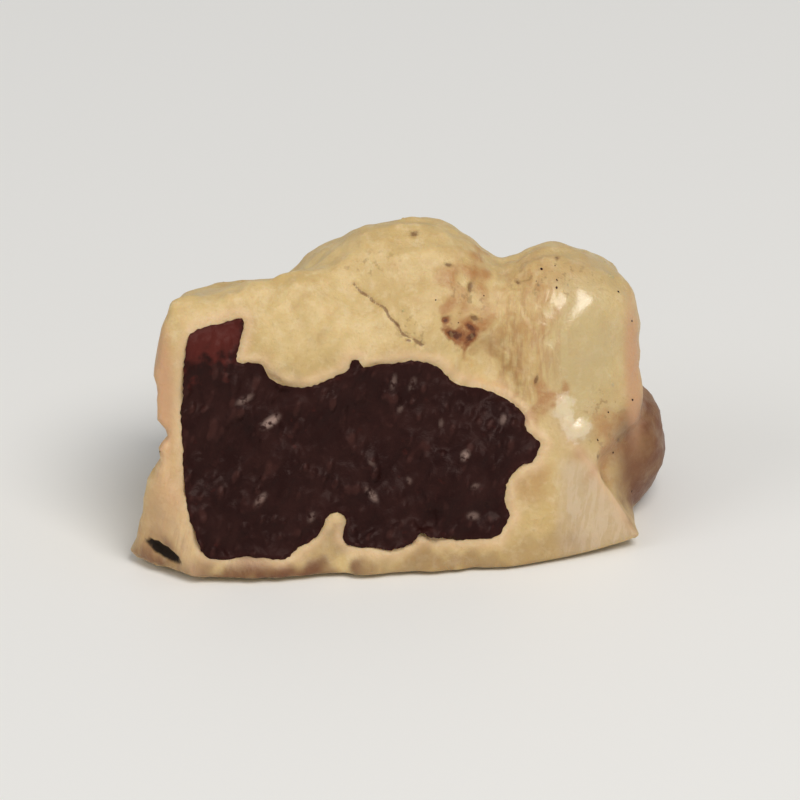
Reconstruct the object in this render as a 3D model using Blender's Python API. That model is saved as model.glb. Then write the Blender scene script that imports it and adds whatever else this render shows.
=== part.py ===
"""A piece broken off the kernel of a brazil nut, with what is left of its brown seed coat.

The piece lies as it would on a table: +Z is up, +X runs along its length, and the flank that
carries the large patch of seed coat faces -Y. The origin is under the middle of the piece.
Every solid comes from one field, a signed distance in millimetres: the snapped slab of kernel,
the lobes of its broken side and the planes of its underside. The seed coat lies on that field.
"""

import math

import bmesh
import bpy
import numpy as np
from mathutils import Vector, geometry

MM = 0.001

# Where the middle of the finished piece's foot lies in the drawing that the sizes below give.
MIDDLE = np.array([-0.110, 0.155, 0.0])

# A small ellipsoid inside the piece, whose normals are the rays that its surface is cast along.
CORE = np.array([-0.5, 0.6, 5.2])
CORE_HALF = np.array([6.5, 1.4, 1.4])

# Each flank below is an outward normal, a point on it, and over how many millimetres it rounds
# into the flanks before it. First the slab of kernel.
SLAB = {
    "front": ((0.10, -0.94, 0.342), (-8.0, -7.0, 0.0), 0.0),
    "left_edge": ((-0.60, -0.79, 0.10), (-9.6, -6.95, 0.0), 0.6),
    "left": ((-0.94, 0.22, 0.27), (-10.7, -4.5, 6.0), 0.5),
    "top": ((-0.14, 0.45, 0.88), (-5.0, 0.0, 12.1), 1.8),
    "back": ((0.05, 0.95, 0.28), (-3.0, 5.7, 5.0), 2.5),
    "snapped_side": ((0.40, -0.50, 0.77), (0.77, -2.6, 9.4), 0.7),
    "right": ((0.83, 0.10, 0.546), (10.55, -3.4, 1.1), 0.3),
}

# The upper half of the left flank stands out as a ledge: its own flank and its underside.
LEDGE = (((-0.98, 0.10, 0.08), (-11.15, -4.5, 8.5)), ((-0.60, 0.0, -0.80), (-10.75, -4.5, 6.5)))
LEDGE_BLEND = 0.5

# The lobes of the broken side: centre and half sizes.
LOBES = {
    "upper": ((0.0, 2.0, 8.0), (5.7, 4.8, 5.8)),
    "right": ((7.1, 1.5, 8.35), (3.85, 4.5, 4.05)),
    "low": ((7.7, 2.1, 2.6), (4.3, 4.5, 4.1)),
    "knuckle": ((7.8, -0.7, 6.2), (2.8, 2.5, 2.5)),
}
LOBE_BLEND = 1.3
SLAB_BLEND = 0.7

# The chip off the lower right corner, and the underside, which rises round a flat spot.
FOOT = {
    "corner_chip": ((0.32, -0.91, 0.27), (5.4, -5.5, 0.1), 0.2),
    "under_right": ((0.18, 0.0, -0.98), (7.4, 0.0, -0.15), 0.5),
    "under_middle": ((0.04, 0.0, -0.999), (4.2, 0.0, -0.12), 0.5),
    "under_front": ((0.0, -0.06, -0.998), (0.0, -3.6, -0.12), 0.5),
    "under_back": ((-0.06, 0.16, -0.985), (0.0, 3.2, -0.12), 0.6),
    "under_left": ((-0.03, -0.02, -0.999), (-4.2, 0.0, -0.12), 0.6),
    "rest_spot": ((0.0, 0.0, -1.0), (0.0, 0.0, 0.0), 0.0),
}

# The chip's edge fades between two heights, over so many millimetres at the top.
CHIP_FADES = (3.4, 8.5, 2.0)

# The snapped surfaces are uneven: waves of random heading, by their lengths and their height.
WAVES = 14
WAVE_LENGTHS = (2.6, 6.5)
WAVE_HEIGHT = 0.05

# The seed coat: how far it stands out of the kernel, how thick it is, the gap behind it, how much
# of the kernel stays below it and its bed, the mesh's step, and the teeth of its torn edge.
COAT_PROUD = 0.3
COAT_THICK = 0.6
COAT_GAP = 0.3
KERNEL_BELOW = 1.3
COAT_STEP = 0.75
TEETH_STEP = 0.4
TEETH = 0.10

# Each patch of seed coat: the heading and the height that its outline is drawn from, in
# degrees, with heading 0 looking along +Y, and the outline in millimetres to the right and up
# from a base line on the ground.
BASE_LINE = 6.5
PATCHES = {
    "seed_coat_front": (0, 27, [
        (-9.1, 10.3), (-8.8, 10.8), (-8.1, 10.9), (-7.1, 11.2), (-7.2, 10.6), (-7.4, 9.9),
        (-6.4, 9.8), (-5.9, 9.1), (-5.0, 8.7), (-4.0, 8.75), (-2.9, 9.2), (-2.1, 9.8),
        (-1.6, 9.5), (-0.2, 9.8), (1.0, 10.0), (1.9, 9.6), (2.4, 8.95), (3.2, 8.8),
        (4.6, 8.3), (5.4, 7.6), (5.65, 6.8), (6.3, 6.2), (6.1, 5.6), (5.4, 5.2), (4.75, 4.4),
        (4.75, 3.5), (4.9, 2.9), (4.2, 2.3), (2.8, 2.2), (1.5, 2.3), (0.8, 2.5), (-0.2, 2.0),
        (-1.3, 2.0), (-2.5, 2.1), (-2.6, 3.0), (-3.4, 3.0), (-4.9, 2.0), (-6.2, 1.9),
        (-8.2, 1.9), (-8.8, 2.7), (-9.1, 4.3), (-9.1, 7.6),
    ]),
    "seed_coat_back": (180, 30, [
        (-3.2, 6.4), (-2.6, 7.9), (-1.2, 8.9), (0.2, 9.3), (1.8, 8.8), (2.9, 9.3), (4.4, 9.0),
        (5.6, 8.2), (6.9, 8.5), (7.8, 7.0), (7.2, 5.4), (7.6, 3.9), (6.4, 3.1), (5.0, 2.8),
        (3.6, 3.3), (2.4, 4.5), (1.0, 4.2), (-0.6, 5.0), (-2.0, 4.9),
    ]),
}

# The rays that find the surface: their reach, the step to a first hit, and how often the
# stretch that holds the surface is halved.
FIRST_HIT_STEP = 0.1
CAST_REACH = 25.0
HALVINGS = 30
SEED = 7

FACES_A_SIDE = 72
KERNEL_TRIANGLES = 7000


def smooth_max(a, b, k):
    """The larger of two distances, rounded over k millimetres where they are alike."""
    k = np.maximum(k, 1e-6)
    h = np.clip(0.5 + 0.5 * (a - b) / k, 0.0, 1.0)
    return b + (a - b) * h + k * h * (1.0 - h)


def smooth_min(a, b, k):
    return -smooth_max(-a, -b, k)


def band(x, low, high):
    """0 up to low, 1 from high, and a smooth step between."""
    t = np.clip((x - low) / (high - low), 0.0, 1.0)
    return t * t * (3.0 - 2.0 * t)


def plane(p, normal, point):
    n = np.array(normal) / np.linalg.norm(normal)
    return (p - np.array(point)) @ n


def ellipsoid(p, centre, half):
    q = p - np.array(centre)
    k0 = np.linalg.norm(q / half, axis=1)
    k1 = np.linalg.norm(q / np.square(half), axis=1)
    return k0 * (k0 - 1.0) / np.maximum(k1, 1e-9)


def unevenness(p):
    """A gentle random swell in millimetres, the same on every run."""
    rng = np.random.default_rng(SEED)
    swell = np.zeros(len(p))
    for _ in range(WAVES):
        heading = rng.normal(size=3)
        heading *= 2 * math.pi / rng.uniform(*WAVE_LENGTHS) / np.linalg.norm(heading)
        swell += WAVE_HEIGHT * np.sin(p @ heading + rng.uniform(0, 2 * math.pi))
    return swell


def distance(p):
    """Signed distance from each point to the surface of the kernel, negative inside."""
    slab = None
    for name, (normal, point, blend) in SLAB.items():
        d = plane(p, normal, point)
        if name == "left":
            ledge = smooth_max(*(plane(p, *flank) for flank in LEDGE), LEDGE_BLEND)
            d = smooth_min(d, ledge, LEDGE_BLEND)
        slab = d if slab is None else smooth_max(slab, d, blend)
    lobes = None
    for centre, half in LOBES.values():
        d = ellipsoid(p, centre, half)
        lobes = d if lobes is None else smooth_min(lobes, d, LOBE_BLEND)
    d = smooth_min(slab, lobes, SLAB_BLEND) + unevenness(p)
    low, high, fade = CHIP_FADES
    for name, (normal, point, blend) in FOOT.items():
        if name == "corner_chip":
            blend = blend + fade * band(p[:, 2], low, high)
        d = smooth_max(d, plane(p, normal, point), blend)
    return d


def cast_out(sphere):
    """Where the rays leave the kernel: one for each point of a unit sphere round its core."""
    starts = CORE + sphere * CORE_HALF
    rays = sphere / CORE_HALF
    rays /= np.linalg.norm(rays, axis=1)[:, None]
    near = np.zeros(len(sphere))
    far = np.full(len(sphere), CAST_REACH)
    for _ in range(HALVINGS):
        middle = (near + far) / 2
        inside = distance(starts + rays * middle[:, None]) < 0.0
        near = np.where(inside, middle, near)
        far = np.where(inside, far, middle)
    return starts + rays * near[:, None]


def meets(p, level):
    """Whether each point is as deep as the level, or as low as a bed of that depth may go."""
    return (distance(p) < level) | (p[:, 2] < KERNEL_BELOW + level)


def cast_in(starts, direction, level):
    """Where the rays first meet the surface that lies level millimetres outside the kernel."""
    reach = np.full(len(starts), 2 * CAST_REACH)
    for t in np.arange(0.0, 2 * CAST_REACH, FIRST_HIT_STEP):
        reach = np.where(meets(starts + direction * t, level), np.minimum(reach, t), reach)
    near = reach - FIRST_HIT_STEP
    far = reach
    for _ in range(HALVINGS):
        middle = (near + far) / 2
        met = meets(starts + direction * middle[:, None], level)
        far = np.where(met, middle, far)
        near = np.where(met, near, middle)
    return starts + direction * far[:, None]


def new_object(name, bm, material):
    bmesh.ops.recalc_face_normals(bm, faces=bm.faces)
    mesh = bpy.data.meshes.new(name)
    bm.to_mesh(mesh)
    bm.free()
    mesh.shade_smooth()
    if material:
        mesh.materials.append(material)
    obj = bpy.data.objects.new(name, mesh)
    bpy.context.scene.collection.objects.link(obj)
    return obj


def make_kernel(material):
    """The whole snapped piece as one closed body, before the seed coat's beds are cut."""
    bm = bmesh.new()
    bmesh.ops.create_cube(bm, size=2.0)
    bmesh.ops.subdivide_edges(bm, edges=bm.edges, cuts=FACES_A_SIDE - 1, use_grid_fill=True)
    points = np.tan(np.array([v.co for v in bm.verts]) * math.pi / 4)
    points /= np.linalg.norm(points, axis=1)[:, None]
    for v, co in zip(bm.verts, cast_out(points)):
        v.co = Vector((co - MIDDLE) * MM)
    full = 12 * FACES_A_SIDE * FACES_A_SIDE
    kernel = new_object("kernel", bm, material)
    thin_out = kernel.modifiers.new("thin_out", "DECIMATE")
    thin_out.ratio = KERNEL_TRIANGLES / full
    return kernel


def drawing_frame(heading, height):
    """The right, up and into-the-picture axes of a view of the piece."""
    a = math.radians(heading)
    e = math.radians(height)
    right = np.array([math.cos(a), math.sin(a), 0.0])
    flat = np.array([-math.sin(a), math.cos(a), 0.0])
    into = flat * math.cos(e) - np.array([0.0, 0.0, math.sin(e)])
    up = flat * math.sin(e) + np.array([0.0, 0.0, math.cos(e)])
    return right, up, into


def ragged(corners, step, teeth, grow):
    """A smooth closed line through the corners, with small teeth, moved out by grow."""
    rng = np.random.default_rng(SEED)
    corners = np.array(corners)
    count = len(corners)
    line = []
    for i in range(count):
        a, b, c, d = (corners[(i + k) % count] for k in (-1, 0, 1, 2))
        pieces = max(1, round(np.linalg.norm(c - b) / step))
        for t in np.arange(pieces) / pieces:
            bend = (2 * a - 5 * b + 4 * c - d) * t * t + (3 * b - a - 3 * c + d) * t ** 3
            line.append(b + 0.5 * ((c - a) * t + bend))
    line = np.array(line)
    along = np.roll(line, -1, axis=0) - np.roll(line, 1, axis=0)
    outward = np.column_stack((-along[:, 1], along[:, 0]))
    outward /= np.linalg.norm(outward, axis=1)[:, None]
    shift = grow + teeth * rng.uniform(-1.0, 1.0, len(line))
    return line + outward * shift[:, None]


def sheet(name, patch, grow, teeth, outer, inner, material):
    """A patch of the piece's skin between two levels, as one closed body."""
    heading, height, corners = patch
    right, up, into = drawing_frame(heading, height)
    outline = ragged(corners, TEETH_STEP, teeth, grow)
    low = outline.min(axis=0)
    high = outline.max(axis=0)
    inside = [
        Vector((x, y))
        for x in np.arange(low[0], high[0], COAT_STEP)
        for y in np.arange(low[1], high[1], COAT_STEP)
    ]
    flat = [Vector(p) for p in outline] + inside
    edges = [(i, (i + 1) % len(outline)) for i in range(len(outline))]
    spots, _, triangles, *_ = geometry.delaunay_2d_cdt(flat, edges, [], 1, 1e-4)
    used = sorted({i for t in triangles for i in t})
    renumber = {old: new for new, old in enumerate(used)}
    away = np.cross(right, (0.0, 0.0, 1.0)) * BASE_LINE - into * CAST_REACH
    starts = np.array([away + right * spots[i][0] + up * spots[i][1] for i in used])
    bm = bmesh.new()
    outside = [bm.verts.new((p - MIDDLE) * MM) for p in cast_in(starts, into, outer)]
    behind = [bm.verts.new((p - MIDDLE) * MM) for p in cast_in(starts, into, inner)]
    for t in triangles:
        a, b, c = (renumber[i] for i in t)
        bm.faces.new((outside[a], outside[b], outside[c]))
        bm.faces.new((behind[c], behind[b], behind[a]))
    partner = dict(zip(outside, behind))
    for edge in [e for e in bm.edges if e.is_boundary and e.verts[0] in partner]:
        a, b = edge.verts
        bm.faces.new((a, b, partner[b], partner[a]))
    return new_object(name, bm, material)


def cut_bed(kernel, name, patch):
    """Sinks the kernel under a patch, so that the seed coat lies in it with a gap all round."""
    bed = sheet(name + "_bed", patch, COAT_GAP + TEETH, 0.0, 3 * COAT_PROUD,
                COAT_PROUD - COAT_THICK - COAT_GAP, None)
    bed.hide_render = True
    bed.display_type = "WIRE"
    cut = kernel.modifiers.new(bed.name, "BOOLEAN")
    cut.operation = "DIFFERENCE"
    cut.object = bed


def make_material(name, colour, roughness):
    material = bpy.data.materials.new(name)
    material.use_nodes = True
    shader = material.node_tree.nodes["Principled BSDF"]
    shader.inputs["Base Color"].default_value = (*colour, 1.0)
    shader.inputs["Roughness"].default_value = roughness
    shader.inputs["Metallic"].default_value = 0.0
    return material


def clear_scene():
    for obj in list(bpy.data.objects):
        bpy.data.objects.remove(obj)


def main():
    clear_scene()
    kernel = make_kernel(make_material("flesh", (0.71, 0.54, 0.30), 0.45))
    coat = make_material("seed_coat", (0.042, 0.014, 0.012), 0.5)
    for name, patch in PATCHES.items():
        sheet(name, patch, 0.0, TEETH, COAT_PROUD, COAT_PROUD - COAT_THICK, coat)
        cut_bed(kernel, name, patch)


main()
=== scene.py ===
import math

import bmesh
import bpy
import numpy as np
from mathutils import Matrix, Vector, geometry


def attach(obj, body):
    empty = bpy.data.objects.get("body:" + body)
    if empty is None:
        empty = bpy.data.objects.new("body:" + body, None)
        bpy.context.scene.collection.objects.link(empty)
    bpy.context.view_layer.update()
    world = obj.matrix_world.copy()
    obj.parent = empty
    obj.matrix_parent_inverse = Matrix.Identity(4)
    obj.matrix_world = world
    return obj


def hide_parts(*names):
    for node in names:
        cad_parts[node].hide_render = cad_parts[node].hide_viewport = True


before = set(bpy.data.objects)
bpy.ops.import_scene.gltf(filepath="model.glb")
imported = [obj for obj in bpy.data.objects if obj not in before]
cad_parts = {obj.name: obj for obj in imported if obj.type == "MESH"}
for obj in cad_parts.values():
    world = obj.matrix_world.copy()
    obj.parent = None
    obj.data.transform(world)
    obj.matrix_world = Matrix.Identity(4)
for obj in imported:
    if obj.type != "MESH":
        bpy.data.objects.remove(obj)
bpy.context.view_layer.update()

# A piece of shelled brazil nut on a pale table, seen from the front and a little above, from far
# enough off that its sides run parallel. Lengths are in metres here and in the section on the table
# and the light, and in millimetres in the sections on the nut.
VIEW_HEIGHT = math.radians(27)
CAMERA_REACH = 0.36
PICTURE_WIDTH = 0.0365
AIM = Vector((0.0, 0.0, 0.0058))

toward_camera = Vector((0.0, -math.cos(VIEW_HEIGHT), math.sin(VIEW_HEIGHT)))
camera = bpy.data.objects.new("camera", bpy.data.cameras.new("camera"))
camera.location = AIM + toward_camera * CAMERA_REACH
camera.rotation_euler = (-toward_camera).to_track_quat("-Z", "Y").to_euler()
camera.data.lens = camera.data.sensor_width * CAMERA_REACH / PICTURE_WIDTH
camera.data.clip_start = 0.01
bpy.context.scene.collection.objects.link(camera)
bpy.context.scene.camera = camera
bpy.context.scene.view_settings.view_transform = "Standard"

# The table top and the light: a matt white surface, a soft round lamp high at the front right, whose
# image shows on the glossy lobes, a weak wide lamp at the left, and an even white surround. Each
# lamp has its place, its width, its power in watts and its colour.
FLOOR_HALF = 1.5
LAMPS = {
    "key_lamp": ((0.15, -0.24, 0.42), 0.29, 1.68, (1.0, 0.96, 0.90)),
    "left_lamp": ((-0.42, -0.20, 0.34), 0.34, 0.5, (1.0, 0.98, 0.96)),
}


def plain_material(name, colour, roughness):
    material = bpy.data.materials.new(name)
    material.use_nodes = True
    shader = material.node_tree.nodes["Principled BSDF"]
    shader.inputs["Base Color"].default_value = (*colour, 1.0)
    shader.inputs["Roughness"].default_value = roughness
    return material


floor_mesh = bpy.data.meshes.new("floor")
floor_corners = [(x * FLOOR_HALF, y * FLOOR_HALF, 0.0) for x, y in ((-1, -1), (1, -1), (1, 1), (-1, 1))]
floor_mesh.from_pydata(floor_corners, [], [(0, 1, 2, 3)])
floor_mesh.materials.append(plain_material("table_white", (0.86, 0.86, 0.85), 0.6))
floor = bpy.data.objects.new("floor", floor_mesh)
bpy.context.scene.collection.objects.link(floor)

for name, (place, size, power, colour) in LAMPS.items():
    lamp = bpy.data.objects.new(name, bpy.data.lights.new(name, "AREA"))
    lamp.data.energy = power
    lamp.data.shape = "DISK"
    lamp.data.size = size
    lamp.data.color = colour
    lamp.location = place
    lamp.rotation_euler = (AIM - Vector(place)).to_track_quat("-Z", "Y").to_euler()
    bpy.context.scene.collection.objects.link(lamp)

surround = bpy.data.worlds.new("surround")
surround.use_nodes = True
surround.node_tree.nodes["Background"].inputs["Color"].default_value = (0.96, 0.98, 1.0, 1.0)
surround.node_tree.nodes["Background"].inputs["Strength"].default_value = 0.34
bpy.context.scene.world = surround

# Kernel: the nut's pale flesh, one solid piece, waxy and oily. It was snapped from a whole kernel,
# so a flat flank with seed coat meets a lobed, streaky break, and a chip is off its lower corner.
# Each flank is an outward normal, a point on it in millimetres and its rounding. MIDDLE is the
# middle of its box, and CORE the middle of the oval from which rays are cast to find its surface.
MM = 0.001
MIDDLE = np.array([-0.110, 0.155, 0.0])
CORE = np.array([-0.5, 0.6, 5.2])
CORE_HALF = np.array([6.5, 1.4, 1.4])
CAST_REACH = 25.0
HALVINGS = 28
SLAB = {
    "front": ((0.10, -0.94, 0.342), (-8.0, -7.0, 0.0), 0.0),
    "left_edge": ((-0.60, -0.79, 0.10), (-9.6, -6.95, 0.0), 0.30),
    "left": ((-0.94, 0.22, 0.27), (-10.7, -4.5, 6.0), 0.45),
    "top": ((-0.14, 0.45, 0.88), (-5.0, 0.0, 12.1), 1.8),
    "back": ((0.05, 0.95, 0.28), (-3.0, 5.7, 5.0), 2.3),
    "snapped_side": ((0.40, -0.50, 0.77), (0.77, -2.6, 9.4), 0.55),
    "right": ((0.83, 0.10, 0.546), (10.55, -3.4, 1.1), 0.15),
}
# The upper half of the left flank stands out as a ledge: its own flank and its underside.
LEDGE = (((-0.98, 0.10, 0.08), (-11.15, -4.5, 8.5)), ((-0.60, 0.0, -0.80), (-10.75, -4.5, 6.5)))
LEDGE_BLEND = 0.5
# The lobes of the break: each an oval body, by its middle and its half sizes.
LOBES = {
    "upper": ((0.0, 2.0, 8.0), (5.7, 4.8, 5.8)),
    "right": ((7.1, 1.5, 8.35), (3.85, 4.5, 4.05)),
    "low": ((7.7, 2.1, 2.6), (4.3, 4.5, 4.1)),
    "knuckle": ((7.8, -0.7, 6.2), (2.8, 2.5, 2.5)),
}
LOBE_BLEND = 1.3
SLAB_BLEND = 0.7
# What cuts the block from below: the chip off its corner, the rounded underside, the rest spot.
FOOT = {
    "corner_chip": ((0.32, -0.91, 0.27), (5.4, -5.5, 0.1), 0.06),
    "under_right": ((0.18, 0.0, -0.98), (7.4, 0.0, -0.15), 0.5),
    "under_middle": ((0.04, 0.0, -0.999), (4.2, 0.0, -0.12), 0.5),
    "under_front": ((0.0, -0.06, -0.998), (0.0, -3.6, -0.12), 0.5),
    "under_back": ((-0.06, 0.16, -0.985), (0.0, 3.2, -0.12), 0.6),
    "under_left": ((-0.03, -0.02, -0.999), (-4.2, 0.0, -0.12), 0.6),
    "rest_spot": ((0.0, 0.0, -1.0), (0.0, 0.0, 0.0), 0.0),
}
# The chip's crisp edge fades between two heights, over so many millimetres at the top.
CHIP_FADES = (3.4, 8.5, 2.8)
# Waves in the surface: how many, their shortest and longest length, and the height of each.
SWELL = (14, 2.6, 6.5, 0.05)
RIPPLES = (26, 0.7, 2.2, 0.010)
SEED = 7
KERNEL_FACES_A_SIDE = 127
TOWARD_DETAIL = np.array([0.10, -0.33, 0.10])


def smooth_max(a, b, k):
    """The larger of two distances, rounded over k millimetres where they are alike."""
    k = np.maximum(k, 1e-6)
    h = np.clip(0.5 + 0.5 * (a - b) / k, 0.0, 1.0)
    return b + (a - b) * h + k * h * (1.0 - h)


def smooth_min(a, b, k):
    return -smooth_max(-a, -b, k)


def band(x, low, high):
    """0 up to low, 1 from high, and a smooth step between."""
    t = np.clip((x - low) / (high - low), 0.0, 1.0)
    return t * t * (3.0 - 2.0 * t)


def plane(p, normal, point):
    """How far each point lies outside a flat flank."""
    n = np.array(normal) / np.linalg.norm(normal)
    return (p - np.array(point)) @ n


def ellipsoid(p, centre, half):
    """About how far each point lies outside an oval body."""
    q = p - np.array(centre)
    k0 = np.linalg.norm(q / half, axis=1)
    k1 = np.linalg.norm(q / np.square(half), axis=1)
    return k0 * (k0 - 1.0) / np.maximum(k1, 1e-9)


def waves(p, count, shortest, longest, height):
    """A random field of sine waves, the same on every run."""
    rng = np.random.default_rng(SEED)
    total = np.zeros(len(p))
    for _ in range(count):
        heading = rng.normal(size=3)
        heading *= 2 * math.pi / rng.uniform(shortest, longest) / np.linalg.norm(heading)
        total += height * np.sin(p @ heading + rng.uniform(0, 2 * math.pi))
    return total


def distance(p):
    """Signed distance in millimetres from each point to the surface of the flesh."""
    slab = None
    for name, (normal, point, blend) in SLAB.items():
        d = plane(p, normal, point)
        if name == "left":
            ledge = smooth_max(*(plane(p, *flank) for flank in LEDGE), LEDGE_BLEND)
            d = smooth_min(d, ledge, LEDGE_BLEND)
        slab = d if slab is None else smooth_max(slab, d, blend)
    lobes = None
    for centre, half in LOBES.values():
        d = ellipsoid(p, centre, half)
        lobes = d if lobes is None else smooth_min(lobes, d, LOBE_BLEND)
    d = smooth_min(slab, lobes, SLAB_BLEND) + waves(p, *SWELL) + waves(p, *RIPPLES)
    low, high, fade = CHIP_FADES
    for name, (normal, point, blend) in FOOT.items():
        if name == "corner_chip":
            blend = blend + fade * band(p[:, 2], low, high)
        d = smooth_max(d, plane(p, normal, point), blend)
    return d


def cast_out(sphere):
    """Where the rays along the core's normals leave the flesh, one for each point of a sphere."""
    starts = CORE + sphere * CORE_HALF
    rays = sphere / CORE_HALF
    rays /= np.linalg.norm(rays, axis=1)[:, None]
    near = np.zeros(len(sphere))
    far = np.full(len(sphere), CAST_REACH)
    for _ in range(HALVINGS):
        middle = (near + far) / 2
        inside = distance(starts + rays * middle[:, None]) < 0.0
        near = np.where(inside, middle, near)
        far = np.where(inside, far, middle)
    return starts + rays * near[:, None]


def finished_object(name, bm, material):
    """A smooth object in metres, facing outwards, with its finish."""
    bmesh.ops.recalc_face_normals(bm, faces=bm.faces)
    mesh = bpy.data.meshes.new(name)
    bm.to_mesh(mesh)
    bm.free()
    mesh.shade_smooth()
    mesh.materials.append(material)
    obj = bpy.data.objects.new(name, mesh)
    bpy.context.scene.collection.objects.link(obj)
    return obj


# Marks on the flesh, by their place in the front view: millimetres right of the middle, and up
# from a base line on the ground. Ovals give a place, two half sizes and a turn in degrees. A view
# is a heading and a height in degrees.
FRONT_VIEW = (0, 27)
BASE_LINE = 6.5
# Pits: an oval and its depth.
PITS = [
    (1.97, 11.86, 0.22, 0.17, 20, 0.05), (3.16, 11.81, 0.26, 0.17, -30, 0.05),
    (2.34, 11.15, 0.40, 0.24, -25, 0.08), (3.00, 10.90, 0.26, 0.17, 60, 0.05),
    (3.16, 13.35, 0.34, 0.13, 80, 0.03), (0.52, 15.70, 0.24, 0.15, 0, 0.04),
    (-0.18, 11.65, 0.17, 0.12, -45, 0.05), (0.24, 10.85, 0.15, 0.12, 0, 0.05),
    (9.94, 6.40, 0.24, 0.16, 60, 0.06), (8.87, 5.60, 0.17, 0.12, 60, 0.03),
    (6.06, 9.10, 0.28, 0.12, 80, 0.03), (5.30, 13.60, 0.17, 0.12, 0, 0.03),
    (2.17, 14.37, 0.20, 0.15, 0, 0.02), (6.97, 14.62, 0.18, 0.12, 20, 0.03),
]
# Where the flesh has turned red-brown in and round the deepest pits: ovals.
REDDENED = [
    (2.36, 11.15, 0.50, 0.28, -25), (2.98, 10.95, 0.36, 0.20, 60),
    (3.02, 11.40, 0.30, 0.16, -40), (1.97, 11.80, 0.16, 0.12, 20),
]
# The slit at the lower left, between the edge and a splinter of flesh, painted near-black as painted shade
# inside it: an oval and its depth.
SLIT = (-10.86, 1.36, 0.98, 0.25, -33, 0.35)
# Tan stains: an oval and its strength.
STAINS = [
    (2.5, 13.2, 1.2, 1.5, 0, 1.0), (3.3, 12.4, 0.9, 1.2, 0, 0.6), (2.65, 11.1, 1.1, 0.8, -30, 1.0),
    (6.3, 8.4, 0.6, 1.4, 5, 1.0), (4.8, 10.6, 0.6, 2.6, 5, 0.5), (5.9, 11.8, 0.5, 2.2, 0, 0.5),
    (9.6, 6.4, 1.3, 2.0, 0, 0.9), (6.6, 14.0, 2.2, 0.9, 0, 0.3), (6.0, 4.3, 1.3, 0.8, 30, 0.5),
    (-10.9, 3.0, 1.3, 2.4, -20, 0.35),
]
# Where the flesh is painted dark brown in the lower parts, partly its own tan and partly painted shade, low
# on the front flank and on the low lobe: an oval and its strength.
SHADE_AND_BROWN = [
    (11.8, 5.2, 1.9, 3.4, 0, 1.0), (-6.0, 0.1, 5.5, 1.1, 0, 1.0), (2.5, 0.6, 5.0, 0.8, 0, 0.5),
    (6.4, 1.5, 2.4, 0.9, 10, 0.3), (-11.6, 0.8, 1.3, 1.0, 0, 0.9), (-3.2, 1.6, 1.6, 0.8, 40, 0.4),
]
# Where the low lobe is painted dark brown all over, partly its brown flesh and partly painted shade: it sets
# in between two x and ends between two heights.
LOW_LOBE_SHADE_AND_BROWN = ((8.9, 10.6), (5.2, 7.0))
# The crack down the upper lobe.
CRACK = [
    (-2.30, 13.45), (-1.75, 13.05), (-1.45, 12.70), (-0.95, 12.40), (-0.60, 12.00), (-0.15, 11.60),
    (0.05, 11.20), (0.45, 10.95), (0.90, 10.65),
]
CRACK_HALF_WIDTH = 0.08
CRACK_DEPTH = 0.08
# The streaky dip between the lobes, and the glassy front of the right lobe.
STREAKY = (5.6, 11.2, 2.0, 3.8, 0)
GLASSY = (8.3, 10.2, 2.2, 5.2, 0)
# Waxy lumps below the right lobe, painted pale as their highlight, and a pale chip on the left edge: an oval
# and its height.
WAXY_LUMPS_AND_HIGHLIGHT = [
    (7.30, 7.80, 0.42, 0.60, 15, 0.10), (7.45, 7.15, 0.40, 0.45, 0, 0.12), (7.95, 6.80, 0.62, 0.42, 25, 0.20),
]
PALE_CHIP = (-10.75, 6.0, 0.42, 0.30, 60, 0.28)
# Where the flesh is pinker, along the outer edges: an oval and its strength.
PINK = [
    (10.5, 9.6, 0.5, 3.8, 2, 1.0), (-10.75, 8.6, 0.6, 3.6, 2, 1.0), (-10.9, 3.2, 1.0, 2.4, -20, 0.4),
]
# Where specks and crumbs lie on the flesh: an oval and how thickly.
FLECKED = [
    (7.0, 13.6, 2.6, 1.2, 0, 0.4), (9.3, 7.2, 1.4, 2.2, 0, 0.4), (0.3, 11.4, 1.4, 0.7, -40, 0.4),
    (2.8, 12.2, 1.4, 2.4, 0, 0.4), (-1.5, 14.3, 2.0, 0.8, 15, 0.3),
]
# The flesh's own low relief: its fibres, and the lip round the seed coat, by how far it lies from
# the coat's edge, its half width and its height.
FIBRE_HEIGHT = 0.03
COAT_LIP = (0.24, 0.15, 0.04)
# The edge of the seed coat left on the front flank.
FRONT_COAT_EDGE = [
    (-9.75, 10.45), (-9.3, 11.3), (-8.2, 11.65), (-7.4, 11.9), (-7.1, 11.75), (-7.25, 10.85),
    (-7.45, 10.05), (-7.2, 9.8), (-6.35, 9.75), (-5.95, 9.2), (-5.1, 8.8), (-4.1, 8.8),
    (-2.9, 9.3), (-2.5, 9.55), (-2.3, 10.0), (-1.95, 10.0), (-1.75, 9.65), (-0.9, 9.8), (0.4, 10.0),
    (1.6, 9.8), (2.3, 9.1), (3.1, 8.85), (4.4, 8.45), (5.4, 7.6), (5.65, 6.8), (6.35, 6.2),
    (6.0, 5.4), (5.4, 5.2), (4.75, 4.5), (4.7, 3.6), (4.9, 2.95), (4.25, 1.95), (2.75, 1.9),
    (1.3, 1.95), (0.85, 2.2), (0.5, 1.85), (-0.35, 1.4), (-1.25, 1.5), (-2.3, 1.6), (-2.7, 2.0),
    (-2.6, 2.75), (-2.95, 3.05), (-3.4, 2.9), (-3.85, 2.15), (-4.85, 1.3), (-5.5, 1.05),
    (-7.2, 1.1), (-8.9, 1.2), (-9.45, 2.4), (-9.8, 4.3), (-9.9, 7.6),
]


def drawing_frame(heading, height):
    """The right, up and into-the-picture axes of a view of the nut, in degrees."""
    a = math.radians(heading)
    e = math.radians(height)
    right = np.array([math.cos(a), math.sin(a), 0.0])
    flat = np.array([-math.sin(a), math.cos(a), 0.0])
    into = flat * math.cos(e) - np.array([0.0, 0.0, math.sin(e)])
    up = flat * math.sin(e) + np.array([0.0, 0.0, math.cos(e)])
    return right, up, into


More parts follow.
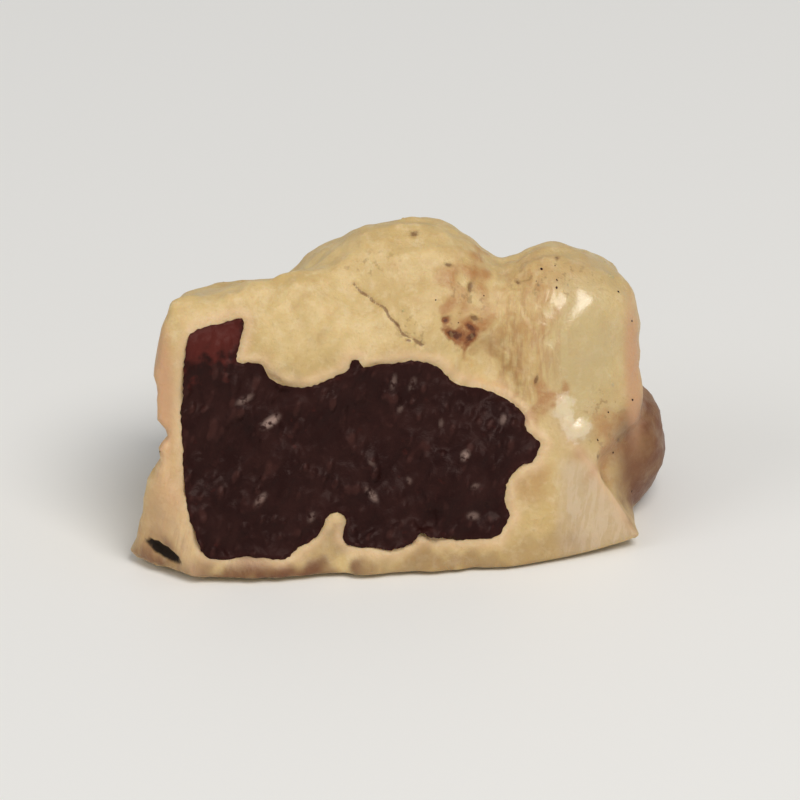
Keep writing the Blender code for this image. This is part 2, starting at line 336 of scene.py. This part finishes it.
def picture_place(p, heading, height):
    """Each point's place in a view: millimetres to the right, and up from its base line."""
    right, up, _ = drawing_frame(heading, height)
    base = np.cross(right, (0.0, 0.0, 1.0)) * BASE_LINE
    return (p - base) @ right, (p - base) @ up


def away_from_line(u, v, line):
    """How far each place lies from a line of straight stretches."""
    nearest = np.full(len(u), 1e9)
    for (a, b), (c, d) in zip(line, line[1:]):
        reach = (c - a) ** 2 + (d - b) ** 2
        along = np.clip(((u - a) * (c - a) + (v - b) * (d - b)) / reach, 0.0, 1.0)
        nearest = np.minimum(nearest, np.hypot(u - a - along * (c - a), v - b - along * (d - b)))
    return nearest


def within(u, v, line):
    """Which places lie inside a closed line."""
    inside = np.zeros(len(u), dtype=bool)
    for (a, b), (c, d) in zip(line, line[1:] + line[:1]):
        if b != d:
            inside ^= ((b > v) != (d > v)) & (u < a + (v - b) * (c - a) / (d - b))
    return inside


def out_from(u, v, centre_u, centre_v, half_long, half_wide, turn):
    """How far out each place lies from the middle of a turned oval, whose edge is at 1."""
    c = math.cos(math.radians(turn))
    s = math.sin(math.radians(turn))
    along = ((u - centre_u) * c + (v - centre_v) * s) / half_long
    across = ((v - centre_v) * c - (u - centre_u) * s) / half_wide
    return np.hypot(along, across)


def oval(u, v, *place):
    """1 in the middle of a turned oval, fading out round its edge."""
    return np.exp(-1.6 * out_from(u, v, *place) ** 4)


def nearness(u, v, ovals):
    """1 in the middle of the nearest oval, a half on its edge, and 0 at twice its size."""
    out = np.min([out_from(u, v, *place[:5]) for place in ovals], axis=0)
    return 1.0 - out.clip(0.0, 2.0) / 2.0


def strongest(u, v, ovals):
    """The strongest of several ovals, each with its strength as its last value."""
    return np.max([oval(u, v, *place) * strength for *place, strength in ovals], axis=0)


def paint(mesh, name, red, green, blue):
    """Three masks from 0 to 1 on a mesh's points, which its material reads."""
    layer = mesh.attributes.new(name, "FLOAT_COLOR", "POINT")
    values = np.column_stack((red, green, blue, np.ones(len(red)))).astype(np.float32)
    layer.data.foreach_set("color", values.ravel())


def paint_one(mesh, name, mask):
    """One mask from 0 to 1 on a mesh's points."""
    layer = mesh.attributes.new(name, "FLOAT", "POINT")
    layer.data.foreach_set("value", mask.astype(np.float32))


def make_kernel(material):
    """The flesh: a cube's fine mesh blown out to its surface, then its low relief and its masks."""
    bm = bmesh.new()
    bmesh.ops.create_cube(bm, size=2.0)
    bmesh.ops.subdivide_edges(bm, edges=bm.edges, cuts=KERNEL_FACES_A_SIDE - 1, use_grid_fill=True)
    sphere = np.tan(np.array([v.co for v in bm.verts]) * math.pi / 4)
    sphere = sphere / np.linalg.norm(sphere, axis=1)[:, None] + TOWARD_DETAIL
    p = cast_out(sphere / np.linalg.norm(sphere, axis=1)[:, None])
    for v, co in zip(bm.verts, (p - MIDDLE) * MM):
        v.co = co
    obj = finished_object("kernel_flesh", bm, material)

    normals = np.zeros(len(p) * 3)
    obj.data.vertex_normals.foreach_get("vector", normals)
    normals = normals.reshape(-1, 3)
    facing = band(-normals @ drawing_frame(*FRONT_VIEW)[2], 0.0, 0.22)
    u, v = picture_place(p, *FRONT_VIEW)
    wobble = waves(p, *RIPPLES) * 10
    frayed_u = u + wobble * 0.25
    frayed_v = v + wobble * 0.18

    off_crack = away_from_line(frayed_u, v, CRACK)
    crack = 1.0 - band(off_crack, 0.15 * CRACK_HALF_WIDTH, 2.0 * CRACK_HALF_WIDTH)
    off_coat = away_from_line(u, v, FRONT_COAT_EDGE + FRONT_COAT_EDGE[:1])
    off_coat = np.where(within(u, v, FRONT_COAT_EDGE), -off_coat, off_coat)
    lip_place, lip_half_width, lip_height = COAT_LIP
    lip = np.exp(-np.square((off_coat - lip_place) / lip_half_width))
    streaky = oval(u, v, *STREAKY) * facing
    glassy = oval(u, v, *GLASSY) * facing
    grain = 0.6 * np.sin(u * 12.0 + 2.2 * np.sin(v * 0.55) + wobble * 5)
    grain += 0.4 * np.sin(u * 27.0 + wobble * 9)
    chamfer = np.exp(-np.square(plane(p, *SLAB["left_edge"][:2]) / 0.25)) * (1.0 - band(v, 6.0, 8.5))
    chamfer *= 1.0 - oval(u, v, *SLIT[:5])
    splinters = np.sin(u * 15.0 + v * 4.0 + wobble * 6)

    height = -strongest(frayed_u, frayed_v, PITS) - strongest(u, v, [SLIT]) - CRACK_DEPTH * crack
    height += lip_height * lip + FIBRE_HEIGHT * grain * streaky + FIBRE_HEIGHT * splinters * chamfer
    height += strongest(u, v, WAXY_LUMPS_AND_HIGHLIGHT) + strongest(u, v, [PALE_CHIP])
    p = p + normals * (height * facing)[:, None]
    p[:, 2] = np.maximum(p[:, 2], 0.0)
    obj.data.vertices.foreach_set("co", ((p - MIDDLE) * MM).ravel())

    front = np.abs(plane(p, *SLAB["front"][:2]))
    corner = np.maximum(front, np.abs(plane(p, *SLAB["left_edge"][:2])))
    chip = np.abs(plane(p, *FOOT["corner_chip"][:2]))
    chip_edge = np.exp(-np.maximum(chip, np.abs(plane(p, *SLAB["right"][:2]))) / 0.25)
    rim = np.maximum(np.exp(-corner / 0.35), np.exp(-np.square((off_coat - 0.2) / 0.28)))
    rim = np.max((rim, chip_edge, oval(u, v, *PALE_CHIP[:5])), axis=0)
    facet = (1.0 - band(chip, 0.02, 0.10)) * band(u, 6.6, 7.8) * (1.0 - band(v, 4.8, 6.2))
    pit = nearness(frayed_u, frayed_v, PITS)
    red = nearness(frayed_u, frayed_v, REDDENED)
    slit = nearness(u, v, [SLIT])
    on_crack = 1.0 - (off_crack / CRACK_HALF_WIDTH).clip(0.0, 4.0) / 4.0
    stain = strongest(u + wobble * 1.2, v + wobble, STAINS)
    # Painted shade, partly brown flesh: the mask that darkens the lower front and the low lobe.
    brown = strongest(u + wobble, v + wobble * 0.8, SHADE_AND_BROWN) * facing
    across, upwards = LOW_LOBE_SHADE_AND_BROWN
    low_lobe = band(p[:, 0], *across) * (1.0 - band(p[:, 2], *upwards))
    low_lobe *= band(plane(p, *SLAB["right"][:2]), -0.1, 0.3)
    brown = np.maximum(brown, low_lobe)
    paint(obj.data, "marks", stain * facing, pit * facing, on_crack * facing)
    paint(obj.data, "zones", rim * facing, streaky, glassy)
    paint(obj.data, "places", brown, facet * facing, red * facing)
    paint(obj.data, "breaks", slit * facing, chamfer * facing, strongest(u, v, PINK) * facing)
    flecked = strongest(u, v, FLECKED) * facing + 0.03
    flecked *= band(off_coat, 0.3, 0.6) * band(p[:, 2], 0.5, 1.0)
    paint_one(obj.data, "flecked", flecked)
    # Where the lumps below the right lobe get their painted highlight.
    paint_one(obj.data, "waxy_highlight", nearness(frayed_u, frayed_v, WAXY_LUMPS_AND_HIGHLIGHT) * facing)
    return obj


class Nodes:
    """A material's node tree, with short calls for what these finishes are made of."""

    def __init__(self, name):
        self.material = bpy.data.materials.new(name)
        self.material.use_nodes = True
        self.tree = self.material.node_tree
        self.shader = self.tree.nodes["Principled BSDF"]
        self.place = self.tree.nodes.new("ShaderNodeTexCoord").outputs["Object"]

    def link(self, source, target):
        if isinstance(source, (int, float)):
            target.default_value = source
        elif isinstance(source, tuple):
            target.default_value = (*source, 1.0)
        else:
            self.tree.links.new(source, target)

    def stretched(self, scale, turn):
        """Object coordinates, turned and then stretched."""
        mapping = self.tree.nodes.new("ShaderNodeMapping")
        mapping.vector_type = "TEXTURE"
        mapping.inputs["Rotation"].default_value = [math.radians(a) for a in turn]
        mapping.inputs["Scale"].default_value = scale
        self.tree.links.new(self.place, mapping.inputs["Vector"])
        return mapping.outputs["Vector"]

    def noise(self, size_mm, detail=4.0, rough=0.55, where=None):
        """Noise from 0 to 1 whose features are about size_mm across."""
        node = self.tree.nodes.new("ShaderNodeTexNoise")
        node.inputs["Scale"].default_value = 1.0 / (size_mm * MM)
        node.inputs["Detail"].default_value = detail
        node.inputs["Roughness"].default_value = rough
        self.tree.links.new(where or self.place, node.inputs["Vector"])
        return node.outputs["Fac"]

    def cells(self, size_mm, feature="F1", where=None):
        node = self.tree.nodes.new("ShaderNodeTexVoronoi")
        node.feature = feature
        node.inputs["Scale"].default_value = 1.0 / (size_mm * MM)
        self.tree.links.new(where or self.place, node.inputs["Vector"])
        return node.outputs["Distance"]

    def step(self, value, low, high, out_low=0.0, out_high=1.0):
        node = self.tree.nodes.new("ShaderNodeMapRange")
        node.interpolation_type = "SMOOTHSTEP"
        node.inputs["From Min"].default_value = low
        node.inputs["From Max"].default_value = high
        node.inputs["To Min"].default_value = out_low
        node.inputs["To Max"].default_value = out_high
        self.link(value, node.inputs["Value"])
        return node.outputs["Result"]

    def maths(self, how, a, b):
        node = self.tree.nodes.new("ShaderNodeMath")
        node.operation = how
        self.link(a, node.inputs[0])
        self.link(b, node.inputs[1])
        return node.outputs["Value"]

    def over(self, colour, amount, strength, other):
        """A colour with another laid over it, by an amount times a strength."""
        node = self.tree.nodes.new("ShaderNodeMix")
        node.data_type = "RGBA"
        self.link(self.maths("MULTIPLY", amount, strength), node.inputs[0])
        self.link(colour, node.inputs[6])
        self.link(other, node.inputs[7])
        return node.outputs[2]

    def between(self, factor, a, b):
        """The number b over the number a."""
        node = self.tree.nodes.new("ShaderNodeMix")
        self.link(factor, node.inputs[0])
        self.link(a, node.inputs[2])
        self.link(b, node.inputs[3])
        return node.outputs[0]

    def masks(self, name):
        """The three masks painted on the mesh under one name."""
        node = self.tree.nodes.new("ShaderNodeAttribute")
        node.attribute_name = name
        split = self.tree.nodes.new("ShaderNodeSeparateColor")
        self.tree.links.new(node.outputs["Color"], split.inputs["Color"])
        return split.outputs["Red"], split.outputs["Green"], split.outputs["Blue"]

    def torn(self, mask, edge, softness, size_mm, unevenness):
        """A painted mask cut off where it falls below its edge, with that edge made uneven."""
        uneven = self.maths("MULTIPLY", self.noise(size_mm, 3.0), unevenness)
        edge += unevenness / 2
        return self.step(self.maths("ADD", mask, uneven), edge - softness, edge + softness)

    def mask(self, name):
        """The one mask painted on the mesh under a name."""
        node = self.tree.nodes.new("ShaderNodeAttribute")
        node.attribute_name = name
        return node.outputs["Fac"]

    def bump(self, heights, depth_mm):
        """The shader's normal, from a height of 0 to 1 that stands for depth_mm."""
        node = self.tree.nodes.new("ShaderNodeBump")
        node.inputs["Distance"].default_value = depth_mm * MM
        self.link(heights, node.inputs["Height"])
        self.tree.links.new(node.outputs["Normal"], self.shader.inputs["Normal"])


def flesh_finish():
    """Waxy cream flesh: mottled, tan in stains and streaks, glassy on the lobes, pink at edges, with painted
    shade in the slit, low on the front and on the low lobe, and painted highlights on the lumps below the
    right lobe.
    """
    f = Nodes("nut_flesh")
    stain, pit, crack = f.masks("marks")
    rim, streaky, glassy = f.masks("zones")
    brown, facet, red = f.masks("places")
    slit, chamfer, pink = f.masks("breaks")
    flecked = f.mask("flecked")
    streaks = f.noise(0.30, 3.0, 0.6, f.stretched((1.0, 2.5, 9.0), (0, 0, 0)))
    splinters = f.noise(0.28, 3.0, 0.6, f.stretched((1.0, 2.0, 8.0), (0, 12, 0)))
    mottle = f.noise(2.4, 5.0, 0.62)
    fine = f.noise(0.55, 5.0, 0.65)
    grit = f.noise(0.17, 3.0, 0.6)

    colour = f.over((0.690, 0.510, 0.240), f.step(mottle, 0.36, 0.64), 1.0, (0.600, 0.425, 0.180))
    colour = f.over(colour, f.step(fine, 0.46, 0.70), 0.55, (0.76, 0.60, 0.35))
    colour = f.over(colour, f.step(f.noise(0.8, 4.0, 0.65), 0.52, 0.72), 0.35, (0.54, 0.33, 0.135))
    colour = f.over(colour, f.step(grit, 0.56, 0.74), 0.35, (0.50, 0.33, 0.145))
    colour = f.over(colour, glassy, 0.6, (0.56, 0.44, 0.225))
    drawn = f.maths("MULTIPLY", f.step(streaks, 0.46, 0.62), streaky)
    colour = f.over(colour, drawn, 0.52, (0.46, 0.245, 0.105))
    drawn = f.maths("MULTIPLY", f.step(splinters, 0.42, 0.62), chamfer)
    colour = f.over(colour, drawn, 0.5, (0.44, 0.24, 0.11))
    colour = f.over(colour, facet, 0.75, (0.55, 0.41, 0.26))
    drawn = f.maths("MULTIPLY", f.step(splinters, 0.44, 0.56), facet)
    colour = f.over(colour, drawn, 0.40, (0.70, 0.56, 0.40))
    patchy = f.maths("MULTIPLY", stain, f.step(f.noise(0.7, 4.0, 0.65), 0.34, 0.60, 0.5, 1.0))
    colour = f.over(colour, patchy, 0.9, (0.43, 0.195, 0.062))
    # Painted shade, partly the flesh's own tan: a deep brown low on the front and over the low lobe.
    patchy = f.maths("MULTIPLY", brown, f.step(f.noise(1.1, 4.0, 0.6), 0.25, 0.65, 0.82, 1.0))
    colour = f.over(colour, patchy, 0.97, (0.150, 0.044, 0.012))
    colour = f.over(colour, pink, 0.9, (0.58, 0.325, 0.175))
    colour = f.over(colour, rim, 0.55, (0.74, 0.50, 0.31))
    colour = f.over(colour, f.torn(pit, 0.45, 0.18, 0.22, 0.7), 0.45, (0.34, 0.20, 0.07))
    colour = f.over(colour, f.torn(pit, 0.68, 0.12, 0.18, 0.5), 0.7, (0.17, 0.075, 0.022))
    colour = f.over(colour, f.torn(red, 0.36, 0.22, 0.30, 0.8), 0.85, (0.28, 0.085, 0.020))
    colour = f.over(colour, f.torn(red, 0.66, 0.14, 0.20, 0.7), 0.85, (0.095, 0.020, 0.006))
    colour = f.over(colour, f.torn(crack, 0.80, 0.10, 0.30, 0.5), 0.75, (0.22, 0.10, 0.035))
    # Painted shade: the slit is painted near-black, as the shade that fills it.
    colour = f.over(colour, f.torn(slit, 0.5, 0.08, 0.5, 0.15), 0.98, (0.012, 0.005, 0.003))
    speck = f.maths("MULTIPLY", f.step(f.noise(0.30, 2.0, 0.5), 0.58, 0.68), f.step(flecked, 0.05, 0.5))
    colour = f.over(colour, speck, 0.6, (0.34, 0.215, 0.085))
    # Painted highlight: the lumps below the right lobe are painted pale where light glints on them.
    colour = f.over(colour, f.torn(f.mask("waxy_highlight"), 0.52, 0.22, 0.30, 1.0), 0.55, (0.86, 0.74, 0.54))
    f.link(colour, f.shader.inputs["Base Color"])

    dull = f.step(fine, 0.3, 0.7, 0.38, 0.55)
    dull = f.between(f.step(slit, 0.35, 0.5), dull, 1.0)
    f.link(f.between(glassy, dull, 0.24), f.shader.inputs["Roughness"])
    f.link(f.maths("MULTIPLY", glassy, 0.85), f.shader.inputs["Coat Weight"])
    f.shader.inputs["Coat Roughness"].default_value = 0.17
    f.shader.inputs["Subsurface Weight"].default_value = 0.4
    f.shader.inputs["Subsurface Radius"].default_value = (1.0, 0.6, 0.28)
    f.shader.inputs["Subsurface Scale"].default_value = 0.8 * MM
    f.shader.inputs["IOR"].default_value = 1.47
    relief = f.maths("ADD", fine, f.maths("MULTIPLY", grit, 0.5))
    relief = f.maths("ADD", relief, f.maths("MULTIPLY", f.maths("MULTIPLY", streaks, streaky), 1.2))
    relief = f.maths("ADD", relief, f.maths("MULTIPLY", f.maths("MULTIPLY", splinters, chamfer), 2.0))
    f.bump(relief, 0.06)
    return f.material


kernel = make_kernel(flesh_finish())
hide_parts("kernel")
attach(kernel, "root")

# Seed coat: the thin brown skin that grew round the kernel, left on in two patches after the nut
# was shelled and broken. It is wrinkled and brittle, grown fast to the flesh, and its torn edge is
# ragged and lifts here and there. Outlines are drawn in a view, as the marks are.
BACK_VIEW = (180, 30)
COAT_THICK = 0.16
COAT_PROUD = 0.09
COAT_STEP = 0.10
# The torn edge: the step along it, the steps from bay to bay, and how deep bays and teeth are.
TORN_STEP = 0.14
STEPS_A_BAY = 6
BAY_DEPTH = 0.06
TOOTH_DEPTH = 0.02
# Waves in the coat, as in the flesh, and how high its wrinkles and its lifted edge stand.
WRINKLES = (34, 0.5, 1.4, 0.28)
WRINKLE_HEIGHT = 0.04
COAT_LUMPS = (16, 1.2, 3.0, 0.010)
LIFTS = (18, 1.6, 4.0, 0.06)
LIFT_MOST = 0.22
# Rays step this share of the distance to the surface, so many times.
RAY_SHARE = 0.8
RAY_STEPS = 70
# Where the front coat is painted pale as small glints of light, on worn spots raised a little: an oval and
# its strength.
WEAR_AND_GLINTS = [
    (-5.95, 7.20, 0.50, 0.22, 35, 1.0), (2.83, 5.69, 0.28, 0.20, 60, 0.8),
    (-1.38, 3.90, 0.42, 0.18, -50, 0.6), (-7.10, 8.20, 0.48, 0.15, 30, 0.45),
    (4.55, 7.30, 0.26, 0.16, 70, 0.45), (3.20, 2.95, 0.30, 0.20, 0, 0.45),
    (-6.40, 3.70, 0.40, 0.17, 50, 0.45), (-0.40, 9.00, 0.38, 0.15, 80, 0.35),
    (0.45, 8.90, 0.36, 0.15, 70, 0.35), (-4.10, 2.90, 0.28, 0.16, 60, 0.35),
    (-0.10, 7.80, 0.20, 0.12, 60, 0.30), (1.75, 7.15, 0.22, 0.12, 80, 0.30),
    (-1.40, 5.35, 0.20, 0.12, -40, 0.28), (3.30, 4.30, 0.22, 0.14, 30, 0.32),
    (0.30, 4.55, 0.20, 0.12, -60, 0.30),
]
COATS = {
    "front": ("seed_coat_front", FRONT_VIEW, FRONT_COAT_EDGE),
    "back": ("seed_coat_back", BACK_VIEW, [
        (-3.2, 6.4), (-2.6, 7.9), (-1.2, 8.9), (0.2, 9.3), (1.8, 8.8), (2.9, 9.3), (4.4, 9.0),
        (5.6, 8.2), (6.9, 8.5), (7.8, 7.0), (7.2, 5.4), (7.6, 3.9), (6.4, 3.1), (5.0, 2.8),
        (3.6, 3.3), (2.4, 4.5), (1.0, 4.2), (-0.6, 5.0), (-2.0, 4.9),
    ]),
}


def torn_outline(corners):
    """A closed line through the corners, with the bays and the small teeth of a tear."""
    rng = np.random.default_rng(SEED)
    corners = np.array(corners)
    line = []
    for i in range(len(corners)):
        a, b, c, d = (corners[(i + k) % len(corners)] for k in (-1, 0, 1, 2))
        pieces = max(1, round(np.linalg.norm(c - b) / TORN_STEP))
        for t in np.arange(pieces) / pieces:
            bend = (2 * a - 5 * b + 4 * c - d) * t * t + (3 * b - a - 3 * c + d) * t ** 3
            line.append(b + 0.5 * ((c - a) * t + bend))
    line = np.array(line)
    along = np.roll(line, -1, axis=0) - np.roll(line, 1, axis=0)
    outward = np.column_stack((-along[:, 1], along[:, 0]))
    outward /= np.linalg.norm(outward, axis=1)[:, None]
    places = np.arange(len(line))
    bay_places = places[::STEPS_A_BAY]
    bays = np.interp(places, bay_places, rng.normal(0.0, BAY_DEPTH, len(bay_places)))
    teeth = rng.normal(0.0, TOOTH_DEPTH, len(line))
    return line + outward * (bays + teeth)[:, None]


def cast_in(starts, direction, level):
    """Where the rays first meet the surface that lies level millimetres off the flesh."""
    t = np.zeros(len(starts))
    for _ in range(RAY_STEPS):
        t += RAY_SHARE * (distance(starts + direction * t[:, None]) - level)
    return starts + direction * t[:, None]


def make_coat(name, view, corners, material):
    """A thin patch cast on to the flesh from its view: its face, its back and the edge between."""
    right, up, into = drawing_frame(*view)
    at_front = view == FRONT_VIEW
    outline = torn_outline(corners)
    low = outline.min(axis=0)
    high = outline.max(axis=0)
    inside = [
        Vector((x, y + COAT_STEP / 2 * (column % 2)))
        for column, x in enumerate(np.arange(low[0], high[0], COAT_STEP * 0.9))
        for y in np.arange(low[1], high[1], COAT_STEP)
    ]
    edges = [(i, (i + 1) % len(outline)) for i in range(len(outline))]
    flat = [Vector(q) for q in outline] + inside
    spots, _, triangles, *_ = geometry.delaunay_2d_cdt(flat, edges, [], 1, 1e-5)
    used = sorted({i for t in triangles for i in t})
    renumber = {old: new for new, old in enumerate(used)}
    uv = np.array([spots[i] for i in used])
    away = np.cross(right, (0.0, 0.0, 1.0)) * BASE_LINE - into * CAST_REACH
    starts = away + uv[:, :1] * right + uv[:, 1:] * up
    closed = [tuple(q) for q in outline] + [tuple(outline[0])]
    from_edge = away_from_line(uv[:, 0], uv[:, 1], closed)

    base = cast_in(starts, into, 0.0)
    folds = 1.0 - np.abs(waves(base * (1.0, 1.0, 0.6), *WRINKLES)).clip(0, 1)
    lumps = waves(base, *COAT_LUMPS)
    # Worn spots on the front coat, raised a little, and painted pale as glints in its finish.
    wear_and_glints = strongest(uv[:, 0], uv[:, 1], WEAR_AND_GLINTS) * at_front
    lift = np.exp(-from_edge / 0.22) * waves(base, *LIFTS).clip(0, LIFT_MOST)
    taper = band(from_edge, 0.0, 0.10)
    relief = (WRINKLE_HEIGHT * folds + lumps + 0.05 * wear_and_glints) * taper
    outer = (COAT_PROUD * (0.5 + 0.5 * taper) + relief).clip(0.03, None) + lift
    inner = COAT_PROUD * 0.5 - COAT_THICK * (0.5 + 0.5 * taper) + lift
    bm = bmesh.new()
    outside = [bm.verts.new(q) for q in (cast_in(starts, into, outer) - MIDDLE) * MM]
    behind = [bm.verts.new(q) for q in (cast_in(starts, into, inner) - MIDDLE) * MM]
    for t in triangles:
        a, b, c = (renumber[i] for i in t)
        bm.faces.new((outside[a], outside[b], outside[c]))
        bm.faces.new((behind[c], behind[b], behind[a]))
    partner = dict(zip(outside, behind))
    for edge in [e for e in bm.edges if e.is_boundary and e.verts[0] in partner]:
        a, b = edge.verts
        bm.faces.new((a, b, partner[b], partner[a]))
    obj = finished_object(name, bm, material)
    thin_tab = band(-uv[:, 0], 6.9, 7.5) * band(uv[:, 1] - 0.3 * uv[:, 0], 11.0, 14.2) * at_front
    masks = (np.exp(-from_edge / 0.16), thin_tab, folds)
    paint(obj.data, "coat_zones", *(np.concatenate((m, m)) for m in masks))
    paint_one(obj.data, "wear_and_glints", np.concatenate((wear_and_glints, wear_and_glints)))
    return obj


def coat_finish():
    """Dull, near-black brown skin with soft wrinkles, small pale spots painted as glints of light on worn
    places, and redder thin parts.
    """
    f = Nodes("nut_skin")
    edge, tab, folds = f.masks("coat_zones")
    mottle = f.noise(1.6, 5.0, 0.65)
    fine = f.noise(0.30, 4.0, 0.6)
    upright = f.stretched((1.0, 1.0, 1.9), (0, 20, 0))
    pebbles = f.step(f.cells(0.48, "SMOOTH_F1", upright), 0.0, 0.75)
    colour = f.over((0.0165, 0.0042, 0.0036), f.step(mottle, 0.35, 0.7), 1.0, (0.027, 0.0080, 0.0066))
    worn = f.maths("MULTIPLY", f.step(pebbles, 0.45, 0.15), f.step(f.noise(0.9, 3.0), 0.42, 0.60))
    colour = f.over(colour, worn, 0.55, (0.060, 0.021, 0.017))
    colour = f.over(colour, f.step(folds, 0.8, 1.0), 0.25, (0.050, 0.016, 0.013))
    colour = f.over(colour, f.torn(tab, 0.5, 0.30, 0.5, 1.6), 0.85, (0.100, 0.017, 0.013))
    colour = f.over(colour, edge, 0.5, (0.032, 0.0045, 0.0035))
    # Painted highlights: small pale glints laid over the front coat's worn spots.
    wear_and_glints = f.maths("MULTIPLY", f.mask("wear_and_glints"), f.step(f.noise(0.28, 3.0), 0.35, 0.55))
    colour = f.over(colour, wear_and_glints, 0.75, (0.42, 0.29, 0.245))
    f.link(colour, f.shader.inputs["Base Color"])
    f.link(f.step(mottle, 0.35, 0.7, 0.42, 0.55), f.shader.inputs["Roughness"])
    f.shader.inputs["Specular IOR Level"].default_value = 0.15
    f.shader.inputs["Specular Tint"].default_value = (1.0, 0.78, 0.74, 1.0)
    relief = f.maths("SUBTRACT", f.maths("MULTIPLY", fine, 0.30), pebbles)
    f.bump(relief, 0.16)
    return f.material


coat_material = coat_finish()
for side, (node, view, corners) in COATS.items():
    coat = make_coat(f"seed_coat_{side}_torn", view, corners, coat_material)
    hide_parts(node)
    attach(coat, "root")

# Flecks: crumbs of seed coat and of flesh that stick to the oily surface where the nut was broken.
# They are scattered over the kernel's mesh, thickest on the right lobe and round the crack, each a
# small uneven grain pressed flat against the flesh. Each kind has its material slot, its grains a
# square millimetre, its smallest and largest grain, and its seed.
FLECKS = {
    "skin_flecks": ("seed_coat", 0.8, 0.03, 0.07, 3),
    "flesh_crumbs": ("flesh", 0.5, 0.04, 0.10, 11),
}


def grain_tree():
    """A Geometry Nodes tree that swaps a mesh for grains scattered over it."""
    tree = bpy.data.node_groups.new("scattered_grains", "GeometryNodeTree")
    tree.interface.new_socket(name="Mesh", in_out="INPUT", socket_type="NodeSocketGeometry")
    for name in ("Grains a square metre", "Smallest", "Largest"):
        tree.interface.new_socket(name=name, in_out="INPUT", socket_type="NodeSocketFloat")
    tree.interface.new_socket(name="Seed", in_out="INPUT", socket_type="NodeSocketInt")
    tree.interface.new_socket(name="Material", in_out="INPUT", socket_type="NodeSocketMaterial")
    tree.interface.new_socket(name="Grains", in_out="OUTPUT", socket_type="NodeSocketGeometry")
    nodes = {}
    for name, kind in (
        ("asked", "NodeGroupInput"), ("done", "NodeGroupOutput"),
        ("flecked", "GeometryNodeInputNamedAttribute"), ("density", "ShaderNodeMath"),
        ("points", "GeometryNodeDistributePointsOnFaces"), ("ball", "GeometryNodeMeshIcoSphere"),
        ("dents", "ShaderNodeTexNoise"), ("dent_depth", "ShaderNodeVectorMath"),
        ("uneven", "GeometryNodeSetPosition"), ("size", "FunctionNodeRandomValue"),
        ("flat", "ShaderNodeVectorMath"), ("shape", "FunctionNodeRandomValue"),
        ("angle", "FunctionNodeRandomValue"), ("spin", "FunctionNodeAxisAngleToRotation"),
        ("turned", "FunctionNodeRotateRotation"),
        ("grains", "GeometryNodeInstanceOnPoints"), ("real", "GeometryNodeRealizeInstances"),
        ("finish", "GeometryNodeSetMaterial"),
    ):
        nodes[name] = tree.nodes.new(kind)
    nodes["flecked"].data_type = "FLOAT"
    nodes["flecked"].inputs["Name"].default_value = "flecked"
    nodes["density"].operation = "MULTIPLY"
    nodes["ball"].inputs["Radius"].default_value = 1.0
    nodes["ball"].inputs["Subdivisions"].default_value = 2
    nodes["dents"].inputs["Scale"].default_value = 1.1
    nodes["dent_depth"].operation = "SUBTRACT"
    nodes["dent_depth"].inputs[1].default_value = (0.5, 0.5, 0.5)
    nodes["shape"].data_type = "FLOAT_VECTOR"
    nodes["shape"].inputs["Min"].default_value = (0.7, 0.7, 0.30)
    nodes["shape"].inputs["Max"].default_value = (1.7, 1.2, 0.55)
    nodes["size"].data_type = "FLOAT"
    nodes["angle"].data_type = "FLOAT"
    nodes["angle"].inputs[3].default_value = 2 * math.pi
    nodes["flat"].operation = "SCALE"
    nodes["turned"].rotation_space = "LOCAL"
    for source, socket, target, other in (
        ("asked", "Mesh", "points", "Mesh"), ("flecked", "Attribute", "density", 0),
        ("asked", "Grains a square metre", "density", 1), ("density", "Value", "points", "Density"),
        ("asked", "Seed", "points", "Seed"), ("dents", "Color", "dent_depth", 0),
        ("ball", "Mesh", "uneven", "Geometry"), ("dent_depth", "Vector", "uneven", "Offset"),
        ("asked", "Smallest", "size", 2), ("asked", "Largest", "size", 3),
        ("asked", "Seed", "size", "Seed"),
        ("shape", "Value", "flat", 0), ("size", 1, "flat", "Scale"), ("angle", 1, "spin", "Angle"),
        ("points", "Rotation", "turned", "Rotation"), ("spin", "Rotation", "turned", "Rotate By"),
        ("points", "Points", "grains", "Points"), ("uneven", "Geometry", "grains", "Instance"),
        ("turned", "Rotation", "grains", "Rotation"), ("flat", "Vector", "grains", "Scale"),
        ("grains", "Instances", "real", "Geometry"), ("real", "Geometry", "finish", "Geometry"),
        ("asked", "Material", "finish", "Material"), ("finish", "Geometry", "done", "Grains"),
    ):
        tree.links.new(nodes[source].outputs[socket], nodes[target].inputs[other])
    return tree


grains_over_mesh = grain_tree()
sockets = {s.name: s.identifier for s in grains_over_mesh.interface.items_tree if s.in_out == "INPUT"}
for name, (slot, per_square_mm, smallest, largest, seed) in FLECKS.items():
    scatter = bpy.data.objects.new(name + "_scatter", kernel.data.copy())
    bpy.context.scene.collection.objects.link(scatter)
    modifier = scatter.modifiers.new("grains", "NODES")
    modifier.node_group = grains_over_mesh
    modifier[sockets["Grains a square metre"]] = per_square_mm / MM ** 2
    modifier[sockets["Smallest"]] = smallest * MM
    modifier[sockets["Largest"]] = largest * MM
    modifier[sockets["Seed"]] = seed
    modifier[sockets["Material"]] = coat_material if slot == "seed_coat" else kernel.data.materials[0]
    evaluated = scatter.evaluated_get(bpy.context.evaluated_depsgraph_get())
    flecks = bpy.data.objects.new(name, bpy.data.meshes.new_from_object(evaluated))
    bpy.context.scene.collection.objects.link(flecks)
    bpy.data.objects.remove(scatter)
    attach(flecks, "root")
